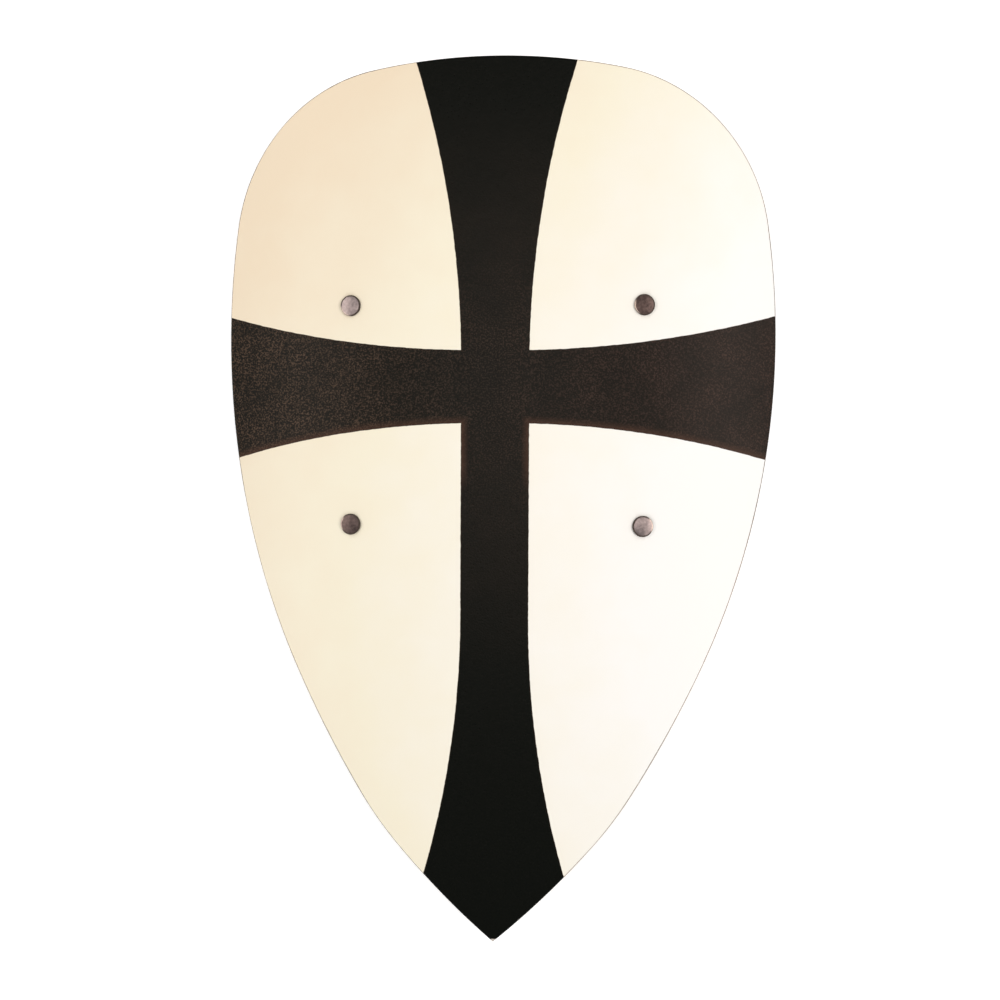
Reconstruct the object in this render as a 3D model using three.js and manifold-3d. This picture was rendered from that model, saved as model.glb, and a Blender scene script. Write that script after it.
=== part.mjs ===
// Child's heater shield: one board of moulded plywood, bent about its long axis, with two
// leather arm straps on its hollow back, each held by two rivets through the board.
//
// Units are millimetres. The pieces are laid out in the board's own frame: x across, y from
// the tip up to the crown, z out of the painted face. The tip's corner is 0.8 mm below y = 0.
// The finished group is then laid down, hollow side under, as the loose shield comes to rest.

import * as THREE from 'three';
import { mergeVertices } from 'three/addons/utils/BufferGeometryUtils.js';
import Module from 'manifold-3d';

const wasm = await Module();
wasm.setup();

// Board
const boardThickness = 5;
const faceRadius = 420;         // bend of the painted face
const bendFacet = 1.85;         // degrees of bend in each flat strip of the board
const bendFacetCount = 25;      // odd, so that one strip lies square across the middle
const crownHeight = 500.3;      // y of the crown

// Right half of the outline, as tangent arcs walked clockwise from the crown to the tip.
const outlineArcs = [
  { radius: 444.2, sweep: 9.23 },    // crown
  { radius: 100.7, sweep: 71.95 },   // shoulder
  { radius: 441.5, sweep: 34.39 },   // side
  { radius: 668.4, sweep: 6.8 },     // flank
  { radius: 222.6, sweep: 9.26 },    // turn towards the tip
  { radius: 547.1 },                 // on to the tip, where it meets the middle line
];

// Rest: the loose shield rocks on the back edges of its two sides until its weight is over
// them. It settles on the straight piece of each edge that this tilt brings level.
const restTilt = THREE.MathUtils.degToRad(3.04);

// Rivets, square to the board
const rivetX = 83.5;
const rivetRows = { upper: 362, lower: 237 };
const headRadius = 6;
const headEdge = 1.1;
const headDome = 0.5;
const headBevel = 0.35;
const domeSteps = [0, 0.4, 0.75];   // parts of the head's radius where its dome is shaped
const shankRadius = 2.1;
const tailRadius = 3.4;
const tailHeight = 1;
const tailTaper = 0.8;
const fit = 0.3;                // gap left between pieces that touch

// Straps
const strapWidth = 25;
const strapThickness = 2.5;
const strapSeat = 0.5;          // from the board's back to a strap end, at its middle
const strapDepth = 19;          // from the board's back to the outer face of the bow
const bowRadius = 400;
const bowSweep = 5.75;
const bendSweep = 100;
const seatBendRadius = 5.2;
const washerRadius = 6;
const washerThickness = 1;
const washerBevel = 0.25;

const roundSteps = 32;
const flatness = 0.065;         // how far an arc may stand off its straight pieces
const cutReach = 60;            // length of the solids that cut the pieces, past any of them
const slabMargin = 20;          // from the outline's ends to the ends of the uncut board

const material = {
  board: new THREE.MeshStandardMaterial({ color: 0xf3e6cc, roughness: 0.45, metalness: 0 }),
  strap: new THREE.MeshStandardMaterial({ color: 0x5a3d28, roughness: 0.7, metalness: 0 }),
  rivet: new THREE.MeshStandardMaterial({ color: 0x8a7f7e, roughness: 0.35, metalness: 1 }),
};

const radians = THREE.MathUtils.degToRad;

// Walks tangent arcs from a point, heading along +x at first: a turn of 1 is clockwise and
// -1 the other way. Returns the points passed, the first one included.
function walkArcs(x, y, arcs) {
  const points = [new THREE.Vector2(x, y)];
  let heading = 0;
  for (const { radius, sweep, turn = 1 } of arcs) {
    const from = points.at(-1);
    const total = radians(sweep);
    const steps = Math.ceil((radius * total) / Math.sqrt(8 * radius * flatness));
    const centreX = from.x - turn * radius * Math.sin(heading);
    const centreY = from.y - turn * radius * Math.cos(heading);
    for (let step = 1; step <= steps; step += 1) {
      const angle = heading + turn * total * (step / steps);
      points.push(new THREE.Vector2(
        centreX + turn * radius * Math.sin(angle),
        centreY + turn * radius * Math.cos(angle),
      ));
    }
    heading += turn * total;
  }
  return points;
}

function toSolid(geometry) {
  const bare = geometry.clone();
  bare.deleteAttribute('normal');
  bare.deleteAttribute('uv');
  const merged = mergeVertices(bare, 1e-5);
  return new wasm.Manifold(new wasm.Mesh({
    numProp: 3,
    vertProperties: new Float32Array(merged.attributes.position.array),
    triVerts: new Uint32Array(merged.index.array),
  }));
}

function toGeometry(solid) {
  const mesh = solid.getMesh();
  const geometry = new THREE.BufferGeometry();
  geometry.setAttribute('position', new THREE.BufferAttribute(mesh.vertProperties, 3));
  geometry.setIndex(new THREE.BufferAttribute(mesh.triVerts, 1));
  geometry.computeVertexNormals();
  return geometry;
}

function extrude(points, depth) {
  return new THREE.ExtrudeGeometry(new THREE.Shape(points), { depth, bevelEnabled: false });
}

function named(name, geometry, look) {
  const mesh = new THREE.Mesh(geometry, look);
  mesh.name = name;
  return mesh;
}

// The last arc of the outline ends on the middle line, so its sweep follows from the others.
function outlinePoints() {
  const last = outlineArcs.at(-1);
  const before = outlineArcs.slice(0, -1);
  const meets = walkArcs(0, crownHeight, before).at(-1);
  const heading = radians(before.reduce((sum, arc) => sum + arc.sweep, 0));
  const centreX = meets.x - last.radius * Math.sin(heading);
  const endHeading = Math.PI - Math.asin(-centreX / last.radius);
  const sweep = THREE.MathUtils.radToDeg(endHeading - heading);
  const right = walkArcs(0, crownHeight, [...before, { radius: last.radius, sweep }]);
  right.at(-1).x = 0;
  const left = right.slice(1, -1).map((point) => new THREE.Vector2(-point.x, point.y));
  return [...right, ...left.reverse()];
}

// Cross-section of the bent board, x across and y out of the face, extruded along the board.
function bentSlab(length) {
  const halfBend = radians(bendFacet * bendFacetCount) / 2;
  const side = (radius, from, to) => Array.from({ length: bendFacetCount + 1 }, (_, index) => {
    const angle = from + (to - from) * (index / bendFacetCount);
    return new THREE.Vector2(radius * Math.sin(angle), radius * Math.cos(angle) - faceRadius);
  });
  const section = [
    ...side(faceRadius, halfBend, -halfBend),
    ...side(faceRadius - boardThickness, -halfBend, halfBend),
  ];
  return extrude(section, length).rotateX(Math.PI / 2);
}

// A group whose origin is on the painted face at x, y, with its z axis square to the board.
function squareToFace(x, y) {
  const place = new THREE.Group();
  const angle = Math.asin(x / faceRadius);
  place.position.set(x, y, Math.sqrt(faceRadius ** 2 - x ** 2) - faceRadius);
  place.rotation.y = angle;
  place.updateMatrix();
  return place;
}

// What a rivet's hole cuts away, along z.
function rivetHole() {
  const radius = shankRadius + fit;
  return new THREE.CylinderGeometry(radius, radius, cutReach, roundSteps).rotateX(Math.PI / 2);
}

function makeBoard(places) {
  const slab = bentSlab(crownHeight + 2 * slabMargin).translate(0, crownHeight + slabMargin, 0);
  const outline = extrude(outlinePoints(), 2 * cutReach).translate(0, 0, -cutReach);
  let solid = toSolid(slab).intersect(toSolid(outline));
  for (const place of places) {
    solid = solid.subtract(toSolid(rivetHole().applyMatrix4(place.matrix)));
  }
  return named('board', toGeometry(solid), material.board);
}

// Head on the painted face, shank through board, strap end and washer, and the tail spread
// over the washer.
function makeRivet(name) {
  const under = -(boardThickness + strapSeat + strapThickness + washerThickness + 2 * fit);
  const headTop = fit + headEdge + headDome;
  const profile = [
    ...domeSteps.map((part) => [headRadius * part, headTop - headDome * part ** 2]),
    [headRadius - headBevel, fit + headEdge],
    [headRadius, fit + headEdge - headBevel],
    [headRadius, fit],
    [shankRadius, fit],
    [shankRadius, under],
    [tailRadius, under],
    [tailRadius * tailTaper, under - tailHeight],
    [0, under - tailHeight],
  ];
  const points = profile.map(([radius, height]) => new THREE.Vector2(radius, height)).reverse();
  const geometry = new THREE.LatheGeometry(points, roundSteps).rotateX(Math.PI / 2);
  return named(name, toGeometry(toSolid(geometry)), material.rivet);
}

function makeWasher(name) {
  const top = -(boardThickness + strapSeat + strapThickness + fit);
  const under = top - washerThickness;
  const bore = shankRadius + fit;
  const profile = [
    [bore, under],
    [washerRadius - washerBevel, under],
    [washerRadius, under + washerBevel],
    [washerRadius, top],
    [bore, top],
    [bore, under],
  ];
  const points = profile.map(([radius, height]) => new THREE.Vector2(radius, height));
  const geometry = new THREE.LatheGeometry(points, roundSteps).rotateX(Math.PI / 2);
  return named(name, toGeometry(toSolid(geometry)), material.rivet);
}

// One edge of the strap seen from its side, from the middle of the bow to the strap's end:
// x runs along the board and y out towards it. The offset is from the strap's middle layer,
// and towards the board is positive.
function strapSide(offset, halfSpan) {
  const bowLevel = -(boardThickness + strapDepth - strapThickness / 2);
  const seatLevel = -(boardThickness + strapSeat + strapThickness / 2);
  const bowRise = bowRadius * (1 - Math.cos(radians(bowSweep)));
  const seatRise = seatBendRadius * (1 - Math.cos(radians(bendSweep)));
  const leftToRise = seatLevel - bowLevel - bowRise - seatRise;
  const lowBendRadius = leftToRise / (Math.cos(radians(bowSweep)) - Math.cos(radians(bendSweep)));
  const curve = walkArcs(0, bowLevel + offset, [
    { radius: bowRadius - offset, sweep: bowSweep, turn: -1 },
    { radius: lowBendRadius - offset, sweep: bendSweep - bowSweep, turn: -1 },
    { radius: seatBendRadius + offset, sweep: bendSweep },
  ]);
  return [...curve, new THREE.Vector2(halfSpan, curve.at(-1).y)];
}

// Strap in its own frame: z square to the board at the strap's middle, y along the board.
function makeStrap(name, rivetSpan) {
  const halfSpan = rivetSpan / 2 + strapWidth / 2;
  const mirror = (points) => points.slice(1).map((point) => new THREE.Vector2(-point.x, point.y));
  const inner = strapSide(strapThickness / 2, halfSpan);
  const outer = strapSide(-strapThickness / 2, halfSpan);
  const profile = [
    ...mirror(outer).reverse(),
    ...outer,
    ...[...inner].reverse(),
    ...mirror(inner),
  ];
  const band = extrude(profile, strapWidth)
    .translate(0, 0, -strapWidth / 2)
    .rotateX(Math.PI / 2)
    .rotateZ(Math.PI / 2);
  const plan = new THREE.Shape();
  plan.absarc(0, rivetSpan / 2, strapWidth / 2, 0, Math.PI);
  plan.absarc(0, -rivetSpan / 2, strapWidth / 2, Math.PI, 2 * Math.PI);
  const planSolid = new THREE.ExtrudeGeometry(plan, {
    depth: cutReach,
    bevelEnabled: false,
    curveSegments: roundSteps / 4,
  }).translate(0, 0, -cutReach);
  let solid = toSolid(band).intersect(toSolid(planSolid));
  for (const end of [-1, 1]) {
    solid = solid.subtract(toSolid(rivetHole().translate(0, (end * rivetSpan) / 2, 0)));
  }
  return named(name, toGeometry(solid), material.strap);
}

const shield = new THREE.Group();
const rivetPlaces = [];
const sides = { left: -rivetX, right: rivetX };
for (const [sideName, x] of Object.entries(sides)) {
  for (const [rowName, y] of Object.entries(rivetRows)) {
    const place = squareToFace(x, y);
    place.add(makeRivet(`rivet_${rowName}_${sideName}`), makeWasher(`washer_${rowName}_${sideName}`));
    rivetPlaces.push(place);
  }
  const strapPlace = squareToFace(x, (rivetRows.upper + rivetRows.lower) / 2);
  strapPlace.add(makeStrap(`arm_strap_${sideName}`, rivetRows.upper - rivetRows.lower));
  shield.add(strapPlace);
}
shield.add(makeBoard(rivetPlaces), ...rivetPlaces);

// Lay the shield down: its lowest edge at z = 0 and the middle of its box over the origin.
shield.rotation.x = restTilt;
const lying = new THREE.Box3().setFromObject(shield, true);
shield.position.set(0, -(lying.min.y + lying.max.y) / 2, -lying.min.z);

const group = new THREE.Group();
group.add(shield);

export default group;
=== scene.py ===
"""Looks of the heater shield: a board of moulded plywood with a painted face, two leather arm
straps and four steel rivets, lying on its hollow side on a pale floor.

Units are metres. Pieces are made in the shield's own frame, x across, y from the tip up to the
crown and z out of the painted face, and are then laid down. The tip's corner is a little below
y = 0.
"""

import math

import bmesh
import bpy
from mathutils import Matrix, Vector, geometry, kdtree


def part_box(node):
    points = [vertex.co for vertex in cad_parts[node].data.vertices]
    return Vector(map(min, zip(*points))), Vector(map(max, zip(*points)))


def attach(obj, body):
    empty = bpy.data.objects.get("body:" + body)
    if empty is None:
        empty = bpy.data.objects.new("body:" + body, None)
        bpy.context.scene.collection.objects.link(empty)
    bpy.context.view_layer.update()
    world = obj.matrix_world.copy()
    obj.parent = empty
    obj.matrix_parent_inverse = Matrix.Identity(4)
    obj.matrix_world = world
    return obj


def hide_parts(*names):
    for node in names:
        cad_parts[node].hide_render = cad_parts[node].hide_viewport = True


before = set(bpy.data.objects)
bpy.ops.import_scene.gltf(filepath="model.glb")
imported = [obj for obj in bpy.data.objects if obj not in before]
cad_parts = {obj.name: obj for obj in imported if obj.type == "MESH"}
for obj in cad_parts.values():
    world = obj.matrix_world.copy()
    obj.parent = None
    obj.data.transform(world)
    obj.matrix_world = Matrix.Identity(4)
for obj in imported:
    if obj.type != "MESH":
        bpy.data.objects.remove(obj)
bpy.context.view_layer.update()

MM = 0.001

# Board
THICKNESS = 5 * MM
FACE_RADIUS = 420 * MM
# y of the crown's middle and of the tip's corner
CROWN = 500.3 * MM
TIP = -0.8 * MM
TILT = math.radians(3.04)
BOARD_ARRIS = 1.0 * MM
BOARD_GRID = 5 * MM
OUTLINE_STEPS = 240
VENEERS = 5
# Right half of the outline from the crown to the tip, as tangent arcs: radius and sweep.
# The last one runs on until it meets the middle line.
OUTLINE_ARCS = (
    (444.2 * MM, math.radians(9.23)),
    (100.7 * MM, math.radians(71.95)),
    (441.5 * MM, math.radians(34.39)),
    (668.4 * MM, math.radians(6.8)),
    (222.6 * MM, math.radians(9.26)),
    (547.1 * MM, None),
)

# Painted cross: straight in the middle of each bar and flared by arcs towards its ends.
# A flare is where it starts and its radius.
BAR_HALF = 19.3 * MM
BAR_FLARE_UP = (328.4 * MM, 561 * MM)
BAR_FLARE_DOWN = (185.2 * MM, 531.5 * MM)
ARM_TOP = 336 * MM
ARM_TOP_FLARE = (8.1 * MM, 538.5 * MM)
ARM_BOTTOM = 295 * MM
ARM_BOTTOM_FLARE = (8.5 * MM, 534.3 * MM)
ARM_MIDDLE = (ARM_TOP + ARM_BOTTOM) / 2
BORDER_WAVER = 0.12 * MM
BORDER_SOFTNESS = 0.06 * MM

# Where the paint stops: how far down the board's edge each colour reaches, how ragged its end
# is, and the height under which the tip is bare
CREAM_REACH = (0.105 * MM, 0.185 * MM)
BLACK_REACH = 3.2 * MM
RAGGEDNESS = 0.35 * MM
CREAM_RAGGEDNESS = 0.1
BARE_TIP = 1.1 * MM
# The depths between which the darker wood near the face gives way to plainer wood
DARKER_WOOD_DEPTHS = (0.4 * MM, 1.2 * MM)

# How pale the cream is, from 0, warm, to 1, almost white: in the middle of the board, and how
# it changes with each metre to the right, up, and away from the middle. This is painted light:
# the whitening towards the lower right is a painted sheen, and the darker, warmer cream towards
# the upper left, the crown and the tip is painted shade
PALE_IN_MIDDLE = 0.71
PALER_ACROSS = 3.2
WARMER_UP = 0.69
WARMER_TO_ENDS = 5.6

# Rivets
RIVET_X = 83.5 * MM
RIVET_ROWS = {"upper": 362 * MM, "lower": 237 * MM}
SIDES = {"left": -RIVET_X, "right": RIVET_X}
# Which way the side of each head with a painted glint faces, from +x, and how tarnished the head is
HEAD_GLINT_AND_TARNISH = {
    ("upper", "left"): (math.radians(225), 0.0),
    ("upper", "right"): (math.radians(195), 1.0),
    ("lower", "left"): (math.radians(175), 0.9),
    ("lower", "right"): (math.radians(10), 0.1),
}
HOLE_RADIUS = 2.4 * MM
SHANK_RADIUS = 2.1 * MM
HEAD_RADIUS = 6 * MM
HEAD_EDGE = 1.2 * MM
HEAD_BEVEL = 0.5 * MM
HEAD_DOME = 0.4 * MM
TAIL_RADIUS = 3.4 * MM
TAIL_HEIGHT = 1.1 * MM
WASHER_RADIUS = 6 * MM
WASHER_THICKNESS = 1 * MM
WASHER_BEVEL = 0.2 * MM
# Ring of painted shade round a head's edge, for its dark bevel: where it starts and is full,
# from the axis
PAINTED_SHADE_RING = (HEAD_RADIUS - 0.95 * MM, HEAD_RADIUS - 0.6 * MM)
# How far to the head's bright side, where a glint is painted, the painted shade starts to give way
# and is gone
PAINTED_GLINT_SIDE = (3.4 * MM, 4.6 * MM)

# Straps
STRAP_WIDTH = 25 * MM
STRAP_THICKNESS = 2.5 * MM
STRAP_SEAT = 0.5 * MM
STRAP_DEPTH = 19 * MM
STRAP_ARRIS = 0.8 * MM
BOW_RADIUS = 400 * MM
BOW_SWEEP = math.radians(5.75)
BEND_SWEEP = math.radians(100)
SEAT_BEND_RADIUS = 5.2 * MM
CREASE_INSET = 2.2 * MM
CREASE_WIDTH = 0.5 * MM
CREASE_DEPTH = 0.2 * MM
STRAP_GRID = 1.2 * MM
# How far from a strap's middle the dark of its burnished edge starts and is full
STRAP_BURNISH = (11.2 * MM, 12.3 * MM)

# Colours in sRGB, from 0 to 255
COLOURS = {
    "ply_along_light": (214, 200, 182),
    "ply_along_dark": (184, 166, 146),
    "ply_across_light": (172, 150, 128),
    "ply_across_dark": (138, 114, 94),
    "ply_glue": (92, 62, 42),
    # Cream as painted shade darkens it, in the middle, and as a painted sheen whitens it
    "cream_in_painted_shade": (230, 218, 196),
    "cream_middle": (235, 233, 216),
    "cream_in_painted_sheen": (239, 243, 245),
    "black_deep": (5, 8, 5),
    "black_dull": (8, 10, 7),
    # The first two are browns of the painted sheen on the black arms; the third is the lower
    # border's brown
    "sheen_brown_left": (87, 70, 58),
    "sheen_brown_right": (83, 62, 55),
    "lower_border_brown": (84, 58, 46),
    "border_brown": (46, 32, 24),
    "near_face_wood_light": (130, 110, 92),
    "near_face_wood_dark": (72, 56, 42),
    "tip_grey": (184, 184, 184),
    "birch_light": (222, 190, 148),
    "birch_dark": (188, 148, 104),
    "birch_pore": (128, 88, 56),
    "steel_dark": (118, 110, 112),
    "steel_light": (147, 138, 139),
    "tarnish_dark": (58, 49, 48),
    "tarnish_light": (86, 74, 72),
    # The painted glint and the painted shade on the rivet heads
    "steel_painted_glint": (166, 154, 147),
    "steel_painted_shade": (48, 34, 24),
    "grain_dark": (84, 52, 32),
    "grain_light": (112, 72, 44),
    "grain_pit": (50, 30, 19),
    "strap_edge": (44, 26, 17),
    "flesh_dark": (140, 104, 72),
    "flesh_light": (164, 126, 92),
    "flesh_nap": (92, 64, 44),
}

# The camera in the shield's frame: where it is, and how it turns about x, y and z
CAMERA_PLACE = Vector((60.25 * MM, 278.2 * MM, 781.9 * MM))
CAMERA_TURN = (math.radians(-1.936), math.radians(4.182), math.radians(0.246))
CAMERA_LENS = 50.05

# Softboxes in the shield's frame: where each one is, its width and height, and its power
SOFTBOXES = {
    "light_right": ((1.25, 0.40, 1.25), (1.5, 0.3), 13.5),
    "light_left": ((-1.25, 0.40, 1.2), (1.5, 0.3), 9),
    "light_above": ((0.0, 0.40, 1.7), (1.6, 0.3), 8),
}
SOFTBOX_COLOUR = (1.0, 0.88, 0.78)
# The studio's brightness low down and overhead, and the heights between which it fades
STUDIO_LOW = 1.0
STUDIO_HIGH = 0.33
STUDIO_FADE = (0.25, 0.6)
FLOOR_HALF = 40.0

# Most of a noise texture's values lie between these
NOISE_LOW = 0.3
NOISE_HIGH = 0.7

# The attribute that keeps where a piece's points are in its own frame
OWN_PLACE = "own_place"

board_low, board_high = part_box("board")
LAY_DOWN = Matrix.Translation(
    (0, board_low.y - TIP * math.cos(TILT), board_high.z - CROWN * math.sin(TILT))
) @ Matrix.Rotation(TILT, 4, "X")


# --- shapes ---


class ArcPath:
    """Tangent arcs walked from a point, heading along +x at first. A positive radius turns
    clockwise and a negative one the other way. Past the last arc the path runs on straight."""

    def __init__(self, x, y, arcs):
        self.arcs = []
        self.length = 0.0
        heading = 0.0
        for radius, sweep in arcs:
            centre = (x - radius * math.sin(heading), y - radius * math.cos(heading))
            if sweep is None:
                sweep = math.pi - math.asin(-centre[0] / radius) - heading
            self.arcs.append((self.length, radius, heading, centre))
            self.length += abs(radius) * sweep
            heading += math.copysign(sweep, radius)
            x = centre[0] + radius * math.sin(heading)
            y = centre[1] + radius * math.cos(heading)
        self.end = (x, y, heading)

    def at(self, walked):
        """x, y and the heading, clockwise from +x."""
        if walked >= self.length:
            x, y, heading = self.end
            beyond = walked - self.length
            return x + beyond * math.cos(heading), y - beyond * math.sin(heading), heading
        start, radius, heading, centre = [arc for arc in self.arcs if arc[0] <= walked][-1]
        heading += (walked - start) / radius
        x = centre[0] + radius * math.sin(heading)
        return x, centre[1] + radius * math.cos(heading), heading


def circle(x, y, radius, count=32):
    angles = (2 * math.pi * index / count for index in range(count))
    return [(x + radius * math.cos(angle), y + radius * math.sin(angle)) for angle in angles]


def fill(rim, holes, spacing):
    """Triangles inside a convex rim and outside the round holes, on a grid of points.

    The points start with the rim's and go on with each hole's."""
    row_share = 0.87
    least_gap = 0.6
    points = []
    edges = []
    for loop in [rim, *holes]:
        start = len(points)
        points += [Vector(point) / MM for point in loop]
        edges += [(start + k, start + (k + 1) % len(loop)) for k in range(len(loop))]
    bound = len(points)
    near = kdtree.KDTree(bound)
    for index, point in enumerate(points):
        near.insert(point.to_3d(), index)
    near.balance()
    middles = [
        sum((Vector(point) / MM for point in hole), Vector((0, 0))) / len(hole) for hole in holes
    ]
    pitch = spacing / MM
    low, high = min(p.y for p in points), max(p.y for p in points)
    corners = [point.copy() for point in points[: len(rim)]]
    for row in range(1, int((high - low) / pitch / row_share)):
        y = low + row * pitch * row_share
        first_x, last_x = row_span(corners, y)
        column = math.ceil(first_x / pitch)
        shift = 0.5 * (row % 2)
        while (column + shift) * pitch < last_x:
            x = (column + shift) * pitch
            column += 1
            inside_hole = any((Vector((x, y)) - middle).length < pitch for middle in middles)
            clear = near.find((x, y, 0))[2] > least_gap * pitch
            if first_x < x and not inside_hole and clear:
                points.append(Vector((x, y)))
    placed, _, triangles, *_ = geometry.delaunay_2d_cdt(points, edges, [], 0, 1e-5)
    if len(placed) != len(points):
        raise ValueError("the loops of a plate touch")
    first = len(rim)
    size = len(holes[0]) if holes else 1
    kept = []
    for triangle in triangles:
        owners = {(index - first) // size if first <= index < bound else -1 for index in triangle}
        if owners == {-1} or len(owners) > 1:
            kept.append(tuple(triangle))
    return [tuple(point * MM) for point in points], kept


def row_span(corners, y):
    """The lowest and highest x of a convex loop at a height."""
    crossings = []
    for a, b in zip(corners, corners[1:] + corners[:1]):
        if (a.y > y) != (b.y > y):
            crossings.append(a.x + (b.x - a.x) * (y - a.y) / (b.y - a.y))
    return min(crossings), max(crossings)


def rounded_edge(thickness, arris, rows, steps=4):
    """Insets and depths over a plate's edge, from just inside its front to just inside its back."""
    quarter = [
        (arris * (1 - math.sin(angle)), arris * (1 - math.cos(angle)))
        for angle in (math.pi / 2 * step / steps for step in range(steps + 1))
    ]
    front = [(arris * 1.6, 0.0), *quarter]
    side = [(0.0, thickness * row / rows) for row in range(1, rows)]
    return front + side + [(inset, thickness - depth) for inset, depth in reversed(front)]


def plate(rim, edge, holes, spacing, put):
    """Vertices, faces and each face's side, 0 front, 1 edge and 2 back, of a plate with an edge
    profile. rim gives its loop at an inset and a depth, and put places u, v at a depth."""
    thickness = edge[-1][1]
    top_points, top_faces = fill(rim(*edge[0]), holes, spacing)
    low_points, low_faces = fill(rim(*edge[-1]), holes, spacing)
    vertices = [put(u, v, 0.0) for u, v in top_points]
    faces = list(top_faces)
    sides = [0] * len(top_faces)
    count = len(rim(*edge[0]))
    before = 0
    for inset, depth in edge[1:-1]:
        start = len(vertices)
        vertices += [put(u, v, depth) for u, v in rim(inset, depth)]
        faces += strip(before, start, count)
        before = start
    back = len(vertices)
    vertices += [put(u, v, thickness) for u, v in low_points]
    faces += strip(before, back, count)
    first = count
    for hole in holes:
        faces += strip(back + first, first, len(hole))
        first += len(hole)
    sides += [1] * (len(faces) - len(sides))
    faces += [tuple(back + index for index in reversed(face)) for face in low_faces]
    sides += [2] * (len(faces) - len(sides))
    return vertices, faces, sides


def strip(first, second, count):
    """A closed band of faces between two loops of vertices."""
    turns = [(k, (k + 1) % count) for k in range(count)]
    return [(first + a, first + b, second + b, second + a) for a, b in turns]


def turned(profile, closed, segments=96):
    """A profile of radii and heights turned about z."""
    count = len(profile)
    vertices = []
    faces = []
    for index in range(segments):
        angle = 2 * math.pi * index / segments
        vertices += [(r * math.cos(angle), r * math.sin(angle), z) for r, z in profile]
        after = (index + 1) % segments
        for step in range(count if closed else count - 1):
            follow = (step + 1) % count
            corners = (index * count + step, index * count + follow)
            faces.append((*corners, after * count + follow, after * count + step))
    return vertices, faces


def quarter_turn(radius, height, size, start, steps=6):
    """Points of a rounded corner about a centre, clockwise by a quarter from a start angle."""
    points = []
    for step in range(steps + 1):
        angle = start - math.pi / 2 * step / steps
        points.append((radius + size * math.cos(angle), height + size * math.sin(angle)))
    return points


def square_to_face(x, y):
    """The frame with its origin on the painted face at x, y and its z axis out of the face."""
    turn = Matrix.Rotation(math.asin(x / FACE_RADIUS), 4, "Y")
    height = math.sqrt(FACE_RADIUS**2 - x**2) - FACE_RADIUS
    return Matrix.Translation((x, y, height)) @ turn


def make_piece(name, vertices, faces, materials, sides=None, place=None):
    """A smooth, closed piece laid down with the shield and attached to the root body."""
    mesh = bpy.data.meshes.new(name)
    mesh.from_pydata(vertices, [], faces)
    for material in materials:
        mesh.materials.append(material)
    if sides:
        mesh.polygons.foreach_set("material_index", sides)
    work = bmesh.new()
    work.from_mesh(mesh)
    bmesh.ops.remove_doubles(work, verts=work.verts, dist=0.001 * MM)
    bmesh.ops.recalc_face_normals(work, faces=work.faces)
    work.to_mesh(mesh)
    work.free()
    mesh.polygons.foreach_set("use_smooth", [True] * len(mesh.polygons))
    own_place = mesh.attributes.new(OWN_PLACE, "FLOAT_VECTOR", "POINT")
    own_place.data.foreach_set("vector", [c for vertex in mesh.vertices for c in vertex.co])
    mesh.transform(LAY_DOWN @ (place or Matrix.Identity(4)))
    made = bpy.data.objects.new(name, mesh)
    bpy.context.scene.collection.objects.link(made)
    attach(made, "root")
    return made


# --- pieces ---


def board_rim(path, steps):
    """The outline's loop, clockwise from the crown, as a function of inset and depth. Across,
    it is measured along the bend of the painted face."""
    walks = [path.length * step / steps for step in range(steps + 1)]
    stations = [path.at(walked) for walked in walks]
    right = [(x, y, math.sin(heading), math.cos(heading)) for x, y, heading in stations]
    x, y, out_x, out_y = right[-1]
    right[-1] = (0.0, y, 0.0, -1 / abs(out_y))
    loop = right + [(-x, y, -out_x, out_y) for x, y, out_x, out_y in right[-2:0:-1]]

    def rim(inset, depth):
        bend = FACE_RADIUS - depth
        return [
            (FACE_RADIUS * math.asin((x - inset * out_x) / bend), y - inset * out_y)
            for x, y, out_x, out_y in loop
        ]

    return rim


def put_on_board(along_bend, y, depth):
    angle = along_bend / FACE_RADIUS
    bend = FACE_RADIUS - depth
    return bend * math.sin(angle), y, bend * math.cos(angle) - FACE_RADIUS


def make_board(paint, veneer):
    path = ArcPath(0.0, CROWN, OUTLINE_ARCS)
    across = FACE_RADIUS * math.asin(RIVET_X / FACE_RADIUS)
    holes = [
        circle(side * across, y, HOLE_RADIUS) for side in (-1, 1) for y in RIVET_ROWS.values()
    ]
    edge = rounded_edge(THICKNESS, BOARD_ARRIS, VENEERS)
    rim = board_rim(path, OUTLINE_STEPS)
    vertices, faces, sides = plate(rim, edge, holes, BOARD_GRID, put_on_board)
    looks = [side // 2 for side in sides]
    board = make_piece("shield_board", vertices, faces, [paint, veneer], looks)
    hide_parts("board")


def rivet_profile():
    """Head, shank and the tail spread over the washer, from the top of the head down."""
    steps = 12
    flat = HEAD_RADIUS - HEAD_BEVEL
    dome = []
    for step in range(steps):
        share = step / steps
        dome.append((flat * step / steps, HEAD_EDGE + HEAD_DOME * (1 - share**2)))
    bevel = quarter_turn(flat, HEAD_EDGE - HEAD_BEVEL, HEAD_BEVEL, math.pi / 2)
    washer_under = -(THICKNESS + STRAP_SEAT + STRAP_THICKNESS + WASHER_THICKNESS)
    tail_round = 0.7 * TAIL_HEIGHT
    tail = quarter_turn(
        TAIL_RADIUS - tail_round, washer_under - TAIL_HEIGHT + tail_round, tail_round, 0
    )
    return [
        *dome,
        *bevel,
        (HEAD_RADIUS - 0.1 * MM, 0.0),
        (SHANK_RADIUS, 0.0),
        (SHANK_RADIUS, washer_under),
        (TAIL_RADIUS, washer_under),
        *tail,
        (0.0, washer_under - TAIL_HEIGHT),
    ]


def make_rivet(name, place, steel, turn):
    vertices, faces = turned(rivet_profile(), closed=False)
    place = place @ Matrix.Rotation(turn, 4, "Z")
    rivet = make_piece("steel_" + name, vertices, faces, [steel], place=place)
    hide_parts(name)


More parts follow.
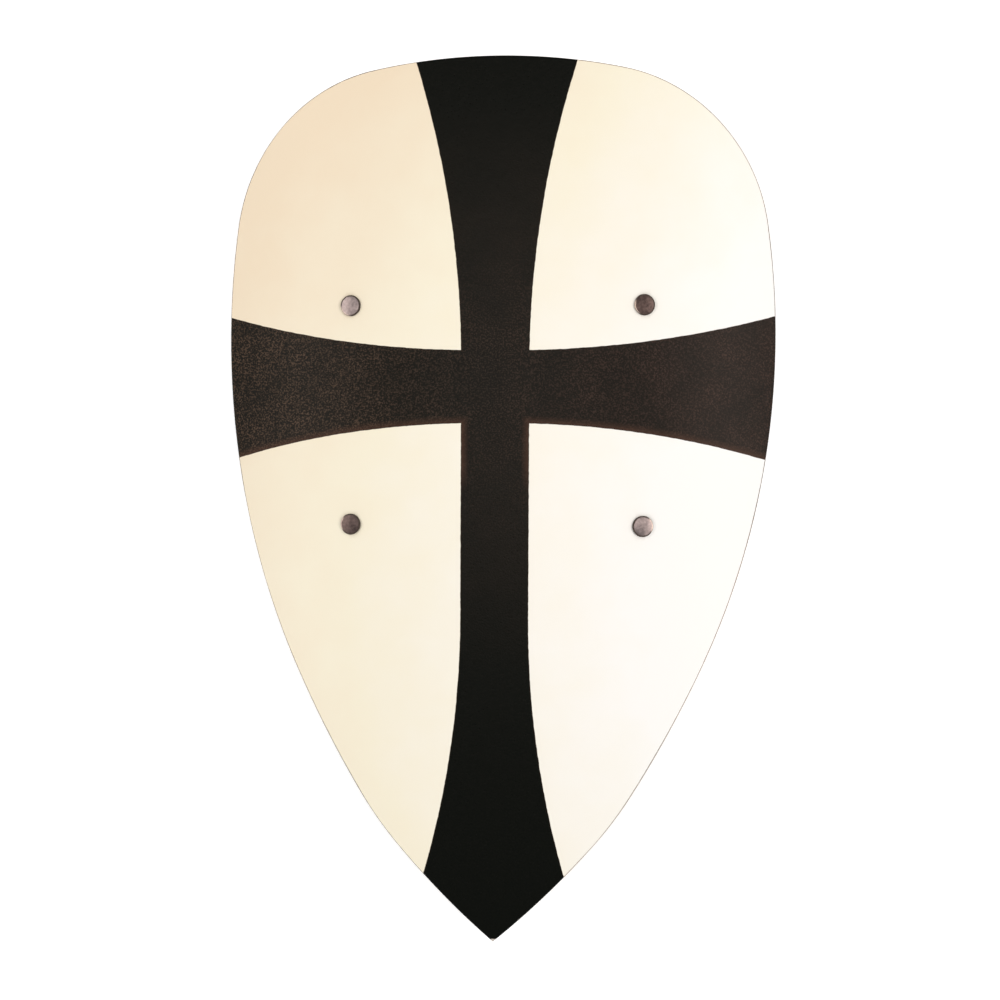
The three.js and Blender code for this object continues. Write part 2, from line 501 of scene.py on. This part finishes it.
def make_washer(name, place, steel):
    top = -(THICKNESS + STRAP_SEAT + STRAP_THICKNESS)
    under = top - WASHER_THICKNESS
    inner = HOLE_RADIUS
    outer = WASHER_RADIUS - WASHER_BEVEL
    profile = [
        (inner, top),
        (outer, top),
        *quarter_turn(outer, top - WASHER_BEVEL, WASHER_BEVEL, math.pi / 2, 3),
        *quarter_turn(outer, under + WASHER_BEVEL, WASHER_BEVEL, 0, 3),
        (outer, under),
        (inner, under),
    ]
    vertices, faces = turned(profile, closed=True)
    washer = make_piece("steel_" + name, vertices, faces, [steel], place=place)
    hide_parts(name)


def strap_path():
    """The strap's middle layer seen from its side, from the middle of the bow to its end."""
    bow_level = -(THICKNESS + STRAP_DEPTH - STRAP_THICKNESS / 2)
    seat_level = -(THICKNESS + STRAP_SEAT + STRAP_THICKNESS / 2)
    bow_rise = BOW_RADIUS * (1 - math.cos(BOW_SWEEP))
    seat_rise = SEAT_BEND_RADIUS * (1 - math.cos(BEND_SWEEP))
    left_to_rise = seat_level - bow_level - bow_rise - seat_rise
    low_bend = left_to_rise / (math.cos(BOW_SWEEP) - math.cos(BEND_SWEEP))
    return ArcPath(
        0.0,
        bow_level,
        (
            (-BOW_RADIUS, BOW_SWEEP),
            (-low_bend, BEND_SWEEP - BOW_SWEEP),
            (SEAT_BEND_RADIUS, BEND_SWEEP),
        ),
    )


def strap_rim(half_length, steps):
    """The loop of a strip with half-round ends, as a function of inset and depth."""
    straight = half_length - STRAP_WIDTH / 2
    runs = math.ceil(2 * straight / STRAP_GRID)

    def rim(inset, depth):
        radius = STRAP_WIDTH / 2 - inset
        loop = []
        for end in (1, -1):
            for step in range(steps + 1):
                angle = math.pi * step / steps
                along = straight + radius * math.sin(angle)
                loop.append((end * radius * math.cos(angle), end * along))
            for run in range(1, runs):
                loop.append((-end * radius, end * (straight - 2 * straight * run / runs)))
        return loop

    return rim


def make_strap(name, place, leather, flesh):
    path = strap_path()
    half_span = (RIVET_ROWS["upper"] - RIVET_ROWS["lower"]) / 2
    hole_along = path.length + half_span - path.end[0]
    half_length = hole_along + STRAP_WIDTH / 2
    holes = [circle(0.0, end * hole_along, HOLE_RADIUS) for end in (-1, 1)]
    crease = [
        (CREASE_INSET + CREASE_WIDTH, 0.0),
        (CREASE_INSET + 0.3 * CREASE_WIDTH, 0.8 * CREASE_DEPTH),
        (CREASE_INSET, CREASE_DEPTH),
        (CREASE_INSET - 0.3 * CREASE_WIDTH, 0.8 * CREASE_DEPTH),
        (CREASE_INSET - CREASE_WIDTH, 0.0),
    ]
    edge = crease + rounded_edge(STRAP_THICKNESS, STRAP_ARRIS, 3)

    def put(across, along, depth):
        y, z, heading = path.at(abs(along))
        offset = STRAP_THICKNESS / 2 - depth
        y -= offset * math.sin(heading)
        z -= offset * math.cos(heading)
        return across, math.copysign(y, along), z

    rim = strap_rim(half_length, steps=24)
    vertices, faces, sides = plate(rim, edge, holes, STRAP_GRID, put)
    looks = [side // 2 for side in sides]
    strap = make_piece("leather_" + name, vertices, faces, [leather, flesh], looks, place)
    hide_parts(name)


# --- materials ---


class Graph:
    """The nodes of one material, with helpers to feed them."""

    def __init__(self, name):
        self.material = bpy.data.materials.new(name)
        self.material.use_nodes = True
        self.tree = self.material.node_tree
        self.shader = self.tree.nodes["Principled BSDF"]

    def node(self, kind, inputs=None, **settings):
        made = self.tree.nodes.new("ShaderNode" + kind)
        for key, value in settings.items():
            setattr(made, key, value)
        for key, value in (inputs or {}).items():
            self.feed(made.inputs[key], value)
        return made

    def feed(self, socket, value):
        """Gives a socket another one's output, a colour by its name, or a plain value."""
        if isinstance(value, bpy.types.NodeSocket):
            self.tree.links.new(value, socket)
        elif isinstance(value, str):
            socket.default_value = linear_colour(value)
        else:
            socket.default_value = value

    def finish(self, **values):
        """Feeds the shader's sockets, named with _ for a space, and returns the material."""
        for key, value in values.items():
            self.feed(self.shader.inputs[key.replace("_", " ")], value)
        return self.material

    def math(self, operation, *values):
        made = self.node("Math", operation=operation)
        for socket, value in zip(made.inputs, values):
            self.feed(socket, value)
        return made.outputs[0]

    def place(self):
        """Where the point is in the piece's own frame: the vector and its x, y and z."""
        vector = self.node("Attribute", attribute_name=OWN_PLACE).outputs["Vector"]
        parts = self.node("SeparateXYZ", {"Vector": vector}).outputs
        return vector, parts[0], parts[1], parts[2]

    def stretch(self, vector, scale):
        made = self.node("VectorMath", {0: vector, 1: scale}, operation="MULTIPLY")
        return made.outputs[0]

    def noise(self, vector, size, detail=2.0, roughness=0.5):
        """Noise in lumps of a size in metres."""
        inputs = {"Vector": vector, "Scale": 1 / size, "Detail": detail, "Roughness": roughness}
        return self.node("TexNoise", inputs).outputs[0]

    def cells(self, vector, size, feature="F1"):
        inputs = {"Vector": vector, "Scale": 1 / size}
        return self.node("TexVoronoi", inputs, feature=feature).outputs["Distance"]

    def ramp(self, value, low, high, to_low=0.0, to_high=1.0):
        inputs = {
            "Value": value,
            "From Min": low,
            "From Max": high,
            "To Min": to_low,
            "To Max": to_high,
        }
        return self.node("MapRange", inputs).outputs[0]

    def spread(self, noise, to_low=0.0, to_high=1.0):
        """Noise spread over a range of values."""
        return self.ramp(noise, NOISE_LOW, NOISE_HIGH, to_low, to_high)

    def blend(self, factor, colour_a, colour_b):
        made = self.node("Mix", data_type="RGBA")
        for name, value in (("Factor", factor), ("A", colour_a), ("B", colour_b)):
            socket = [s for s in made.inputs if s.name == name and s.enabled][0]
            self.feed(socket, value)
        return [s for s in made.outputs if s.enabled][0]

    def choose(self, factor, value_a, value_b):
        """value_a where factor is 0 and value_b where it is 1."""
        change = self.math("SUBTRACT", value_b, value_a)
        return self.math("MULTIPLY_ADD", change, factor, value_a)

    def bump(self, height, distance, strength=1.0):
        """A normal for a height from 0 to 1 of a distance in metres."""
        inputs = {"Height": height, "Distance": distance, "Strength": strength}
        return self.node("Bump", inputs).outputs[0]


def linear_colour(name):
    """A colour from the table as linear values."""
    channels = []
    for value in COLOURS[name]:
        share = value / 255
        channel = share / 12.92 if share <= 0.04045 else ((share + 0.055) / 1.055) ** 2.4
        channels.append(channel)
    return (*channels, 1.0)


def flare(graph, distance, radius):
    """How far a flare's arc has moved aside after a distance."""
    run = graph.math("MAXIMUM", distance, 0.0)
    left = graph.math("SUBTRACT", radius**2, graph.math("MULTIPLY", run, run))
    return graph.math("SUBTRACT", radius, graph.math("SQRT", left))


def into_cross(graph, x, y):
    """How far inside the border of the cross a point is, negative outside it."""
    side = graph.math("ABSOLUTE", x)
    (up_start, up_radius), (down_start, down_radius) = BAR_FLARE_UP, BAR_FLARE_DOWN
    upper = flare(graph, graph.math("SUBTRACT", y, up_start), up_radius)
    lower = flare(graph, graph.math("SUBTRACT", down_start, y), down_radius)
    half = graph.math("ADD", graph.math("ADD", upper, lower), BAR_HALF)
    into_bar = graph.math("SUBTRACT", half, side)
    rise = flare(graph, graph.math("SUBTRACT", side, ARM_TOP_FLARE[0]), ARM_TOP_FLARE[1])
    drop = flare(graph, graph.math("SUBTRACT", side, ARM_BOTTOM_FLARE[0]), ARM_BOTTOM_FLARE[1])
    under_top = graph.math("SUBTRACT", graph.math("ADD", rise, ARM_TOP), y)
    over_bottom = graph.math("ADD", graph.math("SUBTRACT", y, ARM_BOTTOM), drop)
    into_arm = graph.math("MINIMUM", under_top, over_bottom)
    return graph.math("MAXIMUM", into_bar, into_arm)


def depth_in_board(graph, x, z):
    """Depth below the painted face."""
    height = graph.math("ADD", z, FACE_RADIUS)
    squares = graph.math("MULTIPLY_ADD", height, height, graph.math("MULTIPLY", x, x))
    return graph.math("SUBTRACT", FACE_RADIUS, graph.math("SQRT", squares))


def ply_edge_colour(graph, vector, depth):
    """Bare edge of the board: veneers that lie along and across by turns."""
    wander = graph.spread(graph.noise(vector, 6 * MM), -0.1 * MM, 0.1 * MM)
    layer = graph.math("DIVIDE", graph.math("ADD", depth, wander), THICKNESS / VENEERS)
    layer = graph.math("MINIMUM", graph.math("MAXIMUM", layer, 0.0), VENEERS - 0.01)
    share = graph.math("FRACT", layer)
    glue = graph.ramp(graph.math("ABSOLUTE", graph.math("SUBTRACT", share, 0.5)), 0.42, 0.5)
    from_core = graph.math("ABSOLUTE", graph.math("SUBTRACT", depth, THICKNESS / 2))
    glue = graph.math("MULTIPLY", glue, graph.ramp(from_core, 1.8 * MM, 2.0 * MM, 1.0, 0.0))
    across = graph.math("PINGPONG", graph.math("FLOOR", layer), 1.0)
    grain = graph.noise(graph.stretch(vector, (1, 1, 6)), 1.5 * MM, 4.0, 0.6)
    light = graph.blend(grain, "ply_along_light", "ply_along_dark")
    dark = graph.blend(grain, "ply_across_light", "ply_across_dark")
    wood = graph.blend(across, light, dark)
    return graph.blend(graph.math("MULTIPLY", glue, 0.5), wood, "ply_glue")


def cream_with_painted_light(graph, vector, x, y):
    """Cream with painted light: painted shade makes it darker and warmer towards the upper left,
    the crown and the tip, and a painted sheen makes it whiter towards the lower right.
    """
    # How pale the cream is stands for the light: paler is painted sheen, less pale painted shade
    across = graph.math("MULTIPLY_ADD", x, PALER_ACROSS, PALE_IN_MIDDLE)
    up = graph.math("SUBTRACT", y, CROWN / 2)
    slope = graph.math("MULTIPLY_ADD", up, WARMER_TO_ENDS, WARMER_UP)
    pale = graph.math("SUBTRACT", across, graph.math("MULTIPLY", up, slope))
    mottle = graph.spread(graph.noise(vector, 30 * MM, 3.0), -0.05, 0.05)
    pale = graph.math("ADD", pale, mottle)
    warm = graph.blend(graph.ramp(pale, 0.0, 0.45), "cream_in_painted_shade", "cream_middle")
    return graph.blend(graph.ramp(pale, 0.45, 1.0), warm, "cream_in_painted_sheen")


def black_with_painted_sheen(graph, vector, x, y, into):
    """Black with a painted warm sheen along the cross's arms, as fine painted glints on the left
    one and in softer patches on the right, and browner along their lower border."""
    from_arm = graph.math("ABSOLUTE", graph.math("SUBTRACT", y, ARM_MIDDLE))
    # Painted sheen: a band at the arms' height, stronger towards both ends, for the side lamps'
    # reflection
    band = graph.ramp(from_arm, 30 * MM, 160 * MM, 1.0, 0.0)
    left = graph.ramp(x, -120 * MM, -10 * MM, 1.0, 0.35)
    right = graph.ramp(x, 0.0, 130 * MM, 0.4, 1.0)
    patches = graph.ramp(graph.noise(vector, 22 * MM, 3.0), 0.35, 0.65, 0.7, 1.25)
    painted_sheen = graph.math("MULTIPLY", graph.math("MAXIMUM", left, right), patches)
    painted_sheen = graph.math("MULTIPLY", band, painted_sheen)
    # Fine specks of painted glint, strongest on the left arm
    specks_strength = graph.ramp(x, -110 * MM, 110 * MM, 1.0, 0.45)
    specks_strength = graph.math("MULTIPLY", specks_strength, graph.ramp(from_arm, 20 * MM, 100 * MM, 1.0, 0.2))
    glint_specks = graph.ramp(graph.noise(vector, 1.0 * MM, 3.0, 0.6), 0.48, 0.62, 0.02, 0.68)
    share = graph.choose(specks_strength, 0.17, glint_specks)
    black = graph.blend(graph.noise(vector, 5 * MM), "black_deep", "black_dull")
    brown = graph.blend(graph.ramp(x, -50 * MM, 100 * MM), "sheen_brown_left", "sheen_brown_right")
    black = graph.blend(graph.math("MULTIPLY", painted_sheen, share), black, brown)
    # Browner along the lower border of the arms
    below = graph.ramp(y, ARM_MIDDLE, ARM_BOTTOM)
    near_arm = graph.ramp(from_arm, 45 * MM, 60 * MM, 1.0, 0.0)
    wear_and_glint = graph.math("MULTIPLY", graph.ramp(into, 0.0, 4.5 * MM, 0.45, 0.0), below)
    return graph.blend(graph.math("MULTIPLY", wear_and_glint, near_arm), black, "lower_border_brown")


def paint_material():
    """The painted face and, past the paint's edge, the bare plywood of the rim and the tip."""
    graph = Graph("painted_face")
    vector, x, y, z = graph.place()
    depth = depth_in_board(graph, x, z)
    waver = graph.spread(graph.noise(vector, 4 * MM, 3.0), -BORDER_WAVER, BORDER_WAVER)
    into = graph.math("ADD", into_cross(graph, x, y), waver)
    black = graph.ramp(into, -BORDER_SOFTNESS, BORDER_SOFTNESS)
    brown_border = graph.ramp(into, 0.3 * MM, 0.7 * MM, 0.5, 0.0)
    # The black carries a painted sheen along the arms; the cream, painted sheen and painted shade
    black_coat = graph.blend(brown_border, black_with_painted_sheen(graph, vector, x, y, into), "border_brown")
    paint = graph.blend(black, cream_with_painted_light(graph, vector, x, y), black_coat)

    ragged = graph.spread(graph.noise(vector, 2.5 * MM, 4.0, 0.6), -RAGGEDNESS, RAGGEDNESS)
    thin = graph.ramp(graph.noise(vector, 70 * MM, 2.0), 0.4, 0.6, *CREAM_REACH)
    reach = graph.choose(black, thin, BLACK_REACH)
    frayed = graph.math("MULTIPLY", ragged, graph.choose(black, CREAM_RAGGEDNESS, 1.0))
    past_paint = graph.math("SUBTRACT", graph.math("ADD", depth, frayed), reach)
    bare_edge = graph.ramp(past_paint, -0.05 * MM, 0.05 * MM)
    above_tip = graph.math("SUBTRACT", graph.math("ADD", y, ragged), BARE_TIP)
    bare_tip = graph.ramp(above_tip, -0.1 * MM, 0.1 * MM, 1.0, 0.0)
    bare = graph.math("MAXIMUM", bare_edge, bare_tip)
    wood = ply_edge_colour(graph, vector, depth)
    away_from_tip = graph.math("SUBTRACT", 1.0, bare_tip)
    # The wood is darker near the face, in a patchy tone
    darker_near_face = graph.math("MULTIPLY", graph.ramp(depth, *DARKER_WOOD_DEPTHS, 0.95, 0.0), away_from_tip)
    near_face_tone = graph.ramp(graph.noise(vector, 120 * MM, 1.0), 0.4, 0.6)
    wood = graph.blend(darker_near_face, wood, graph.blend(near_face_tone, "near_face_wood_light", "near_face_wood_dark"))
    grey_tip = graph.math("MULTIPLY", bare_tip, 0.8)
    wood = graph.blend(grey_tip, wood, "tip_grey")

    fine = graph.noise(vector, 1.1 * MM, 3.0, 0.65)
    peel = graph.noise(vector, 2.2 * MM, 2.0)
    gloss = graph.choose(black, 0.34, graph.spread(fine, 0.26, 0.38))
    pebble = graph.choose(black, graph.math("MULTIPLY", peel, 0.05), fine)
    layered = graph.math("ADD", pebble, graph.math("MULTIPLY", black, 0.3))
    height = graph.math("SUBTRACT", layered, graph.math("MULTIPLY", bare, 0.4))
    return graph.finish(
        Base_Color=graph.blend(bare, paint, wood),
        Roughness=graph.choose(bare, gloss, 0.7),
        Specular_IOR_Level=0.09,
        Normal=graph.bump(height, 0.15 * MM),
    )


def veneer_material():
    """The hollow back: birch veneer with its grain along the board, under a thin varnish."""
    graph = Graph("birch_veneer")
    vector, x, y, z = graph.place()
    sway = graph.noise(graph.stretch(vector, (1, 0.25, 1)), 70 * MM, 1.0)
    drift = graph.math("MULTIPLY_ADD", sway, 0.012, x)
    along = graph.math("MULTIPLY", y, 0.02)
    warped = graph.node("CombineXYZ", {"X": drift, "Y": along}).outputs[0]
    figure = graph.noise(warped, 3.5 * MM, 5.0, 0.6)
    pores = graph.noise(graph.stretch(vector, (1, 0.03, 1)), 0.7 * MM, 3.0, 0.7)
    wood = graph.blend(graph.spread(figure), "birch_light", "birch_dark")
    wood = graph.blend(graph.ramp(pores, 0.55, 0.75, 0.0, 0.45), wood, "birch_pore")
    height = graph.math("MULTIPLY_ADD", figure, 0.5, graph.math("MULTIPLY", pores, -1.0))
    return graph.finish(
        Base_Color=wood,
        Roughness=graph.spread(figure, 0.42, 0.56),
        Normal=graph.bump(height, 0.08 * MM),
    )


def steel_material(name, tarnish):
    """Dull rivet steel, greyish lilac and mottled, and browner with tarnish from 0 to 1. A ring of
    painted shade lies round a head's edge, for its dark bevel, apart from its +x side, which has
    a painted glint."""
    graph = Graph(name)
    vector, x, y, z = graph.place()
    from_axis = graph.math("SQRT", graph.math("MULTIPLY_ADD", x, x, graph.math("MULTIPLY", y, y)))
    mottle = graph.noise(vector, 1.6 * MM, 4.0, 0.6)
    clean = graph.blend(graph.ramp(mottle, 0.35, 0.65), "steel_dark", "steel_light")
    brown = graph.blend(graph.ramp(mottle, 0.35, 0.65), "tarnish_dark", "tarnish_light")
    unevenness = graph.spread(graph.noise(vector, 0.8 * MM, 3.0), -0.15 * MM, 0.15 * MM)
    ring = graph.math("ADD", from_axis, unevenness)
    at_edge = graph.ramp(ring, *PAINTED_SHADE_RING)
    # The painted glint on the head's bright side
    wear_and_glint = graph.math("MULTIPLY", at_edge, graph.ramp(x, *PAINTED_GLINT_SIDE))
    # Painted shade in the ring, apart from the painted glint
    painted_shade = graph.math("SUBTRACT", at_edge, wear_and_glint)
    metal = graph.blend(tarnish, clean, brown)
    metal = graph.blend(wear_and_glint, metal, "steel_painted_glint")
    roughness = graph.spread(mottle, 0.28, 0.42)
    scratch = graph.noise(graph.stretch(vector, (1, 8, 1)), 0.5 * MM, 2.0)
    height = graph.math("MULTIPLY_ADD", scratch, 0.3, mottle)
    return graph.finish(
        Base_Color=graph.blend(painted_shade, metal, "steel_painted_shade"),
        Metallic=graph.ramp(painted_shade, 0.0, 1.0, 1.0, 0.0),
        Roughness=graph.math("MULTIPLY_ADD", painted_shade, 0.25, roughness),
        Normal=graph.bump(height, 0.03 * MM),
    )


def leather_material():
    """Grain side of the straps and their burnished edges."""
    graph = Graph("strap_grain")
    vector, x, y, z = graph.place()
    cells = graph.cells(vector, 1.1 * MM)
    fine = graph.noise(vector, 0.5 * MM, 3.0)
    wear_and_glint = graph.noise(vector, 14 * MM, 4.0, 0.6)
    grain = graph.math("MULTIPLY_ADD", fine, 0.4, cells)
    base = graph.blend(graph.spread(wear_and_glint), "grain_dark", "grain_light")
    base = graph.blend(graph.ramp(grain, 0.2, 0.5, 0.5, 0.0), base, "grain_pit")
    edge = graph.ramp(graph.math("ABSOLUTE", x), *STRAP_BURNISH)
    return graph.finish(
        Base_Color=graph.blend(edge, base, "strap_edge"),
        Roughness=graph.spread(wear_and_glint, 0.42, 0.6),
        Normal=graph.bump(grain, 0.12 * MM),
    )


def flesh_material():
    """Rough side of the straps."""
    graph = Graph("strap_flesh")
    vector, x, y, z = graph.place()
    nap = graph.noise(vector, 0.6 * MM, 5.0, 0.7)
    patches = graph.noise(vector, 9 * MM, 3.0)
    base = graph.blend(graph.spread(patches), "flesh_dark", "flesh_light")
    return graph.finish(
        Base_Color=graph.blend(graph.ramp(nap, 0.35, 0.65, 0.45, 0.0), base, "flesh_nap"),
        Roughness=0.9,
        Normal=graph.bump(nap, 0.2 * MM),
    )


# --- stage ---


def make_floor():
    graph = Graph("pale_floor")
    floor_material = graph.finish(
        Base_Color=(0.86, 0.89, 0.93, 1),
        Roughness=0.9,
        Emission_Color=(0.85, 0.94, 1, 1),
        Emission_Strength=0.38,
    )
    half = FLOOR_HALF
    corners = [(-half, -half, 0), (half, -half, 0), (half, half, 0), (-half, half, 0)]
    mesh = bpy.data.meshes.new("floor")
    mesh.from_pydata(corners, [], [(0, 1, 2, 3)])
    mesh.materials.append(floor_material)
    floor = bpy.data.objects.new("floor", mesh)
    bpy.context.scene.collection.objects.link(floor)


def make_softbox(name, place, size, power):
    """A soft light at a place in the shield's frame, turned to the middle of the face."""
    light = bpy.data.lights.new(name, "AREA")
    light.shape = "RECTANGLE"
    light.size, light.size_y = size
    light.energy = power
    light.color = SOFTBOX_COLOUR
    made = bpy.data.objects.new(name, light)
    away = Vector(place) - Vector((0, CROWN / 2, 0))
    turn = away.to_track_quat("Z", "Y").to_matrix().to_4x4()
    made.matrix_world = LAY_DOWN @ Matrix.Translation(place) @ turn
    bpy.context.scene.collection.objects.link(made)


def make_world():
    """A studio that is bright low down all round and dimmer overhead."""
    world = bpy.data.worlds.new("studio")
    world.use_nodes = True
    nodes = world.node_tree.nodes
    links = world.node_tree.links
    direction = nodes.new("ShaderNodeTexCoord")
    parts = nodes.new("ShaderNodeSeparateXYZ")
    fade = nodes.new("ShaderNodeMapRange")
    fade.inputs["From Min"].default_value = STUDIO_FADE[0]
    fade.inputs["From Max"].default_value = STUDIO_FADE[1]
    fade.inputs["To Min"].default_value = STUDIO_LOW
    fade.inputs["To Max"].default_value = STUDIO_HIGH
    links.new(direction.outputs["Generated"], parts.inputs[0])
    links.new(parts.outputs["Z"], fade.inputs["Value"])
    links.new(fade.outputs[0], nodes["Background"].inputs["Strength"])
    nodes["Background"].inputs["Color"].default_value = (1, 1, 1, 1)
    bpy.context.scene.world = world


def make_camera():
    camera = bpy.data.cameras.new("camera")
    camera.lens = CAMERA_LENS
    made = bpy.data.objects.new("camera", camera)
    turn_x, turn_y, turn_z = CAMERA_TURN
    turn = (
        Matrix.Rotation(turn_y, 4, "Y")
        @ Matrix.Rotation(turn_x, 4, "X")
        @ Matrix.Rotation(turn_z, 4, "Z")
    )
    made.matrix_world = LAY_DOWN @ Matrix.Translation(CAMERA_PLACE) @ turn
    bpy.context.scene.collection.objects.link(made)
    bpy.context.scene.camera = made


def make_shield():
    make_board(paint_material(), veneer_material())
    washer_steel = steel_material("washer_steel", 0.2)
    leather = leather_material()
    flesh = flesh_material()
    middle = sum(RIVET_ROWS.values()) / len(RIVET_ROWS)
    for side, x in SIDES.items():
        make_strap(f"arm_strap_{side}", square_to_face(x, middle), leather, flesh)
        for row, y in RIVET_ROWS.items():
            place = square_to_face(x, y)
            turn, tarnish = HEAD_GLINT_AND_TARNISH[row, side]
            steel = steel_material(f"steel_{row}_{side}", tarnish)
            make_rivet(f"rivet_{row}_{side}", place, steel, turn)
            make_washer(f"washer_{row}_{side}", place, washer_steel)


make_camera()
make_shield()
make_floor()
make_world()
for light_name, (light_place, light_size, light_power) in SOFTBOXES.items():
    make_softbox(light_name, light_place, light_size, light_power)
bpy.context.scene.view_settings.view_transform = "Standard"
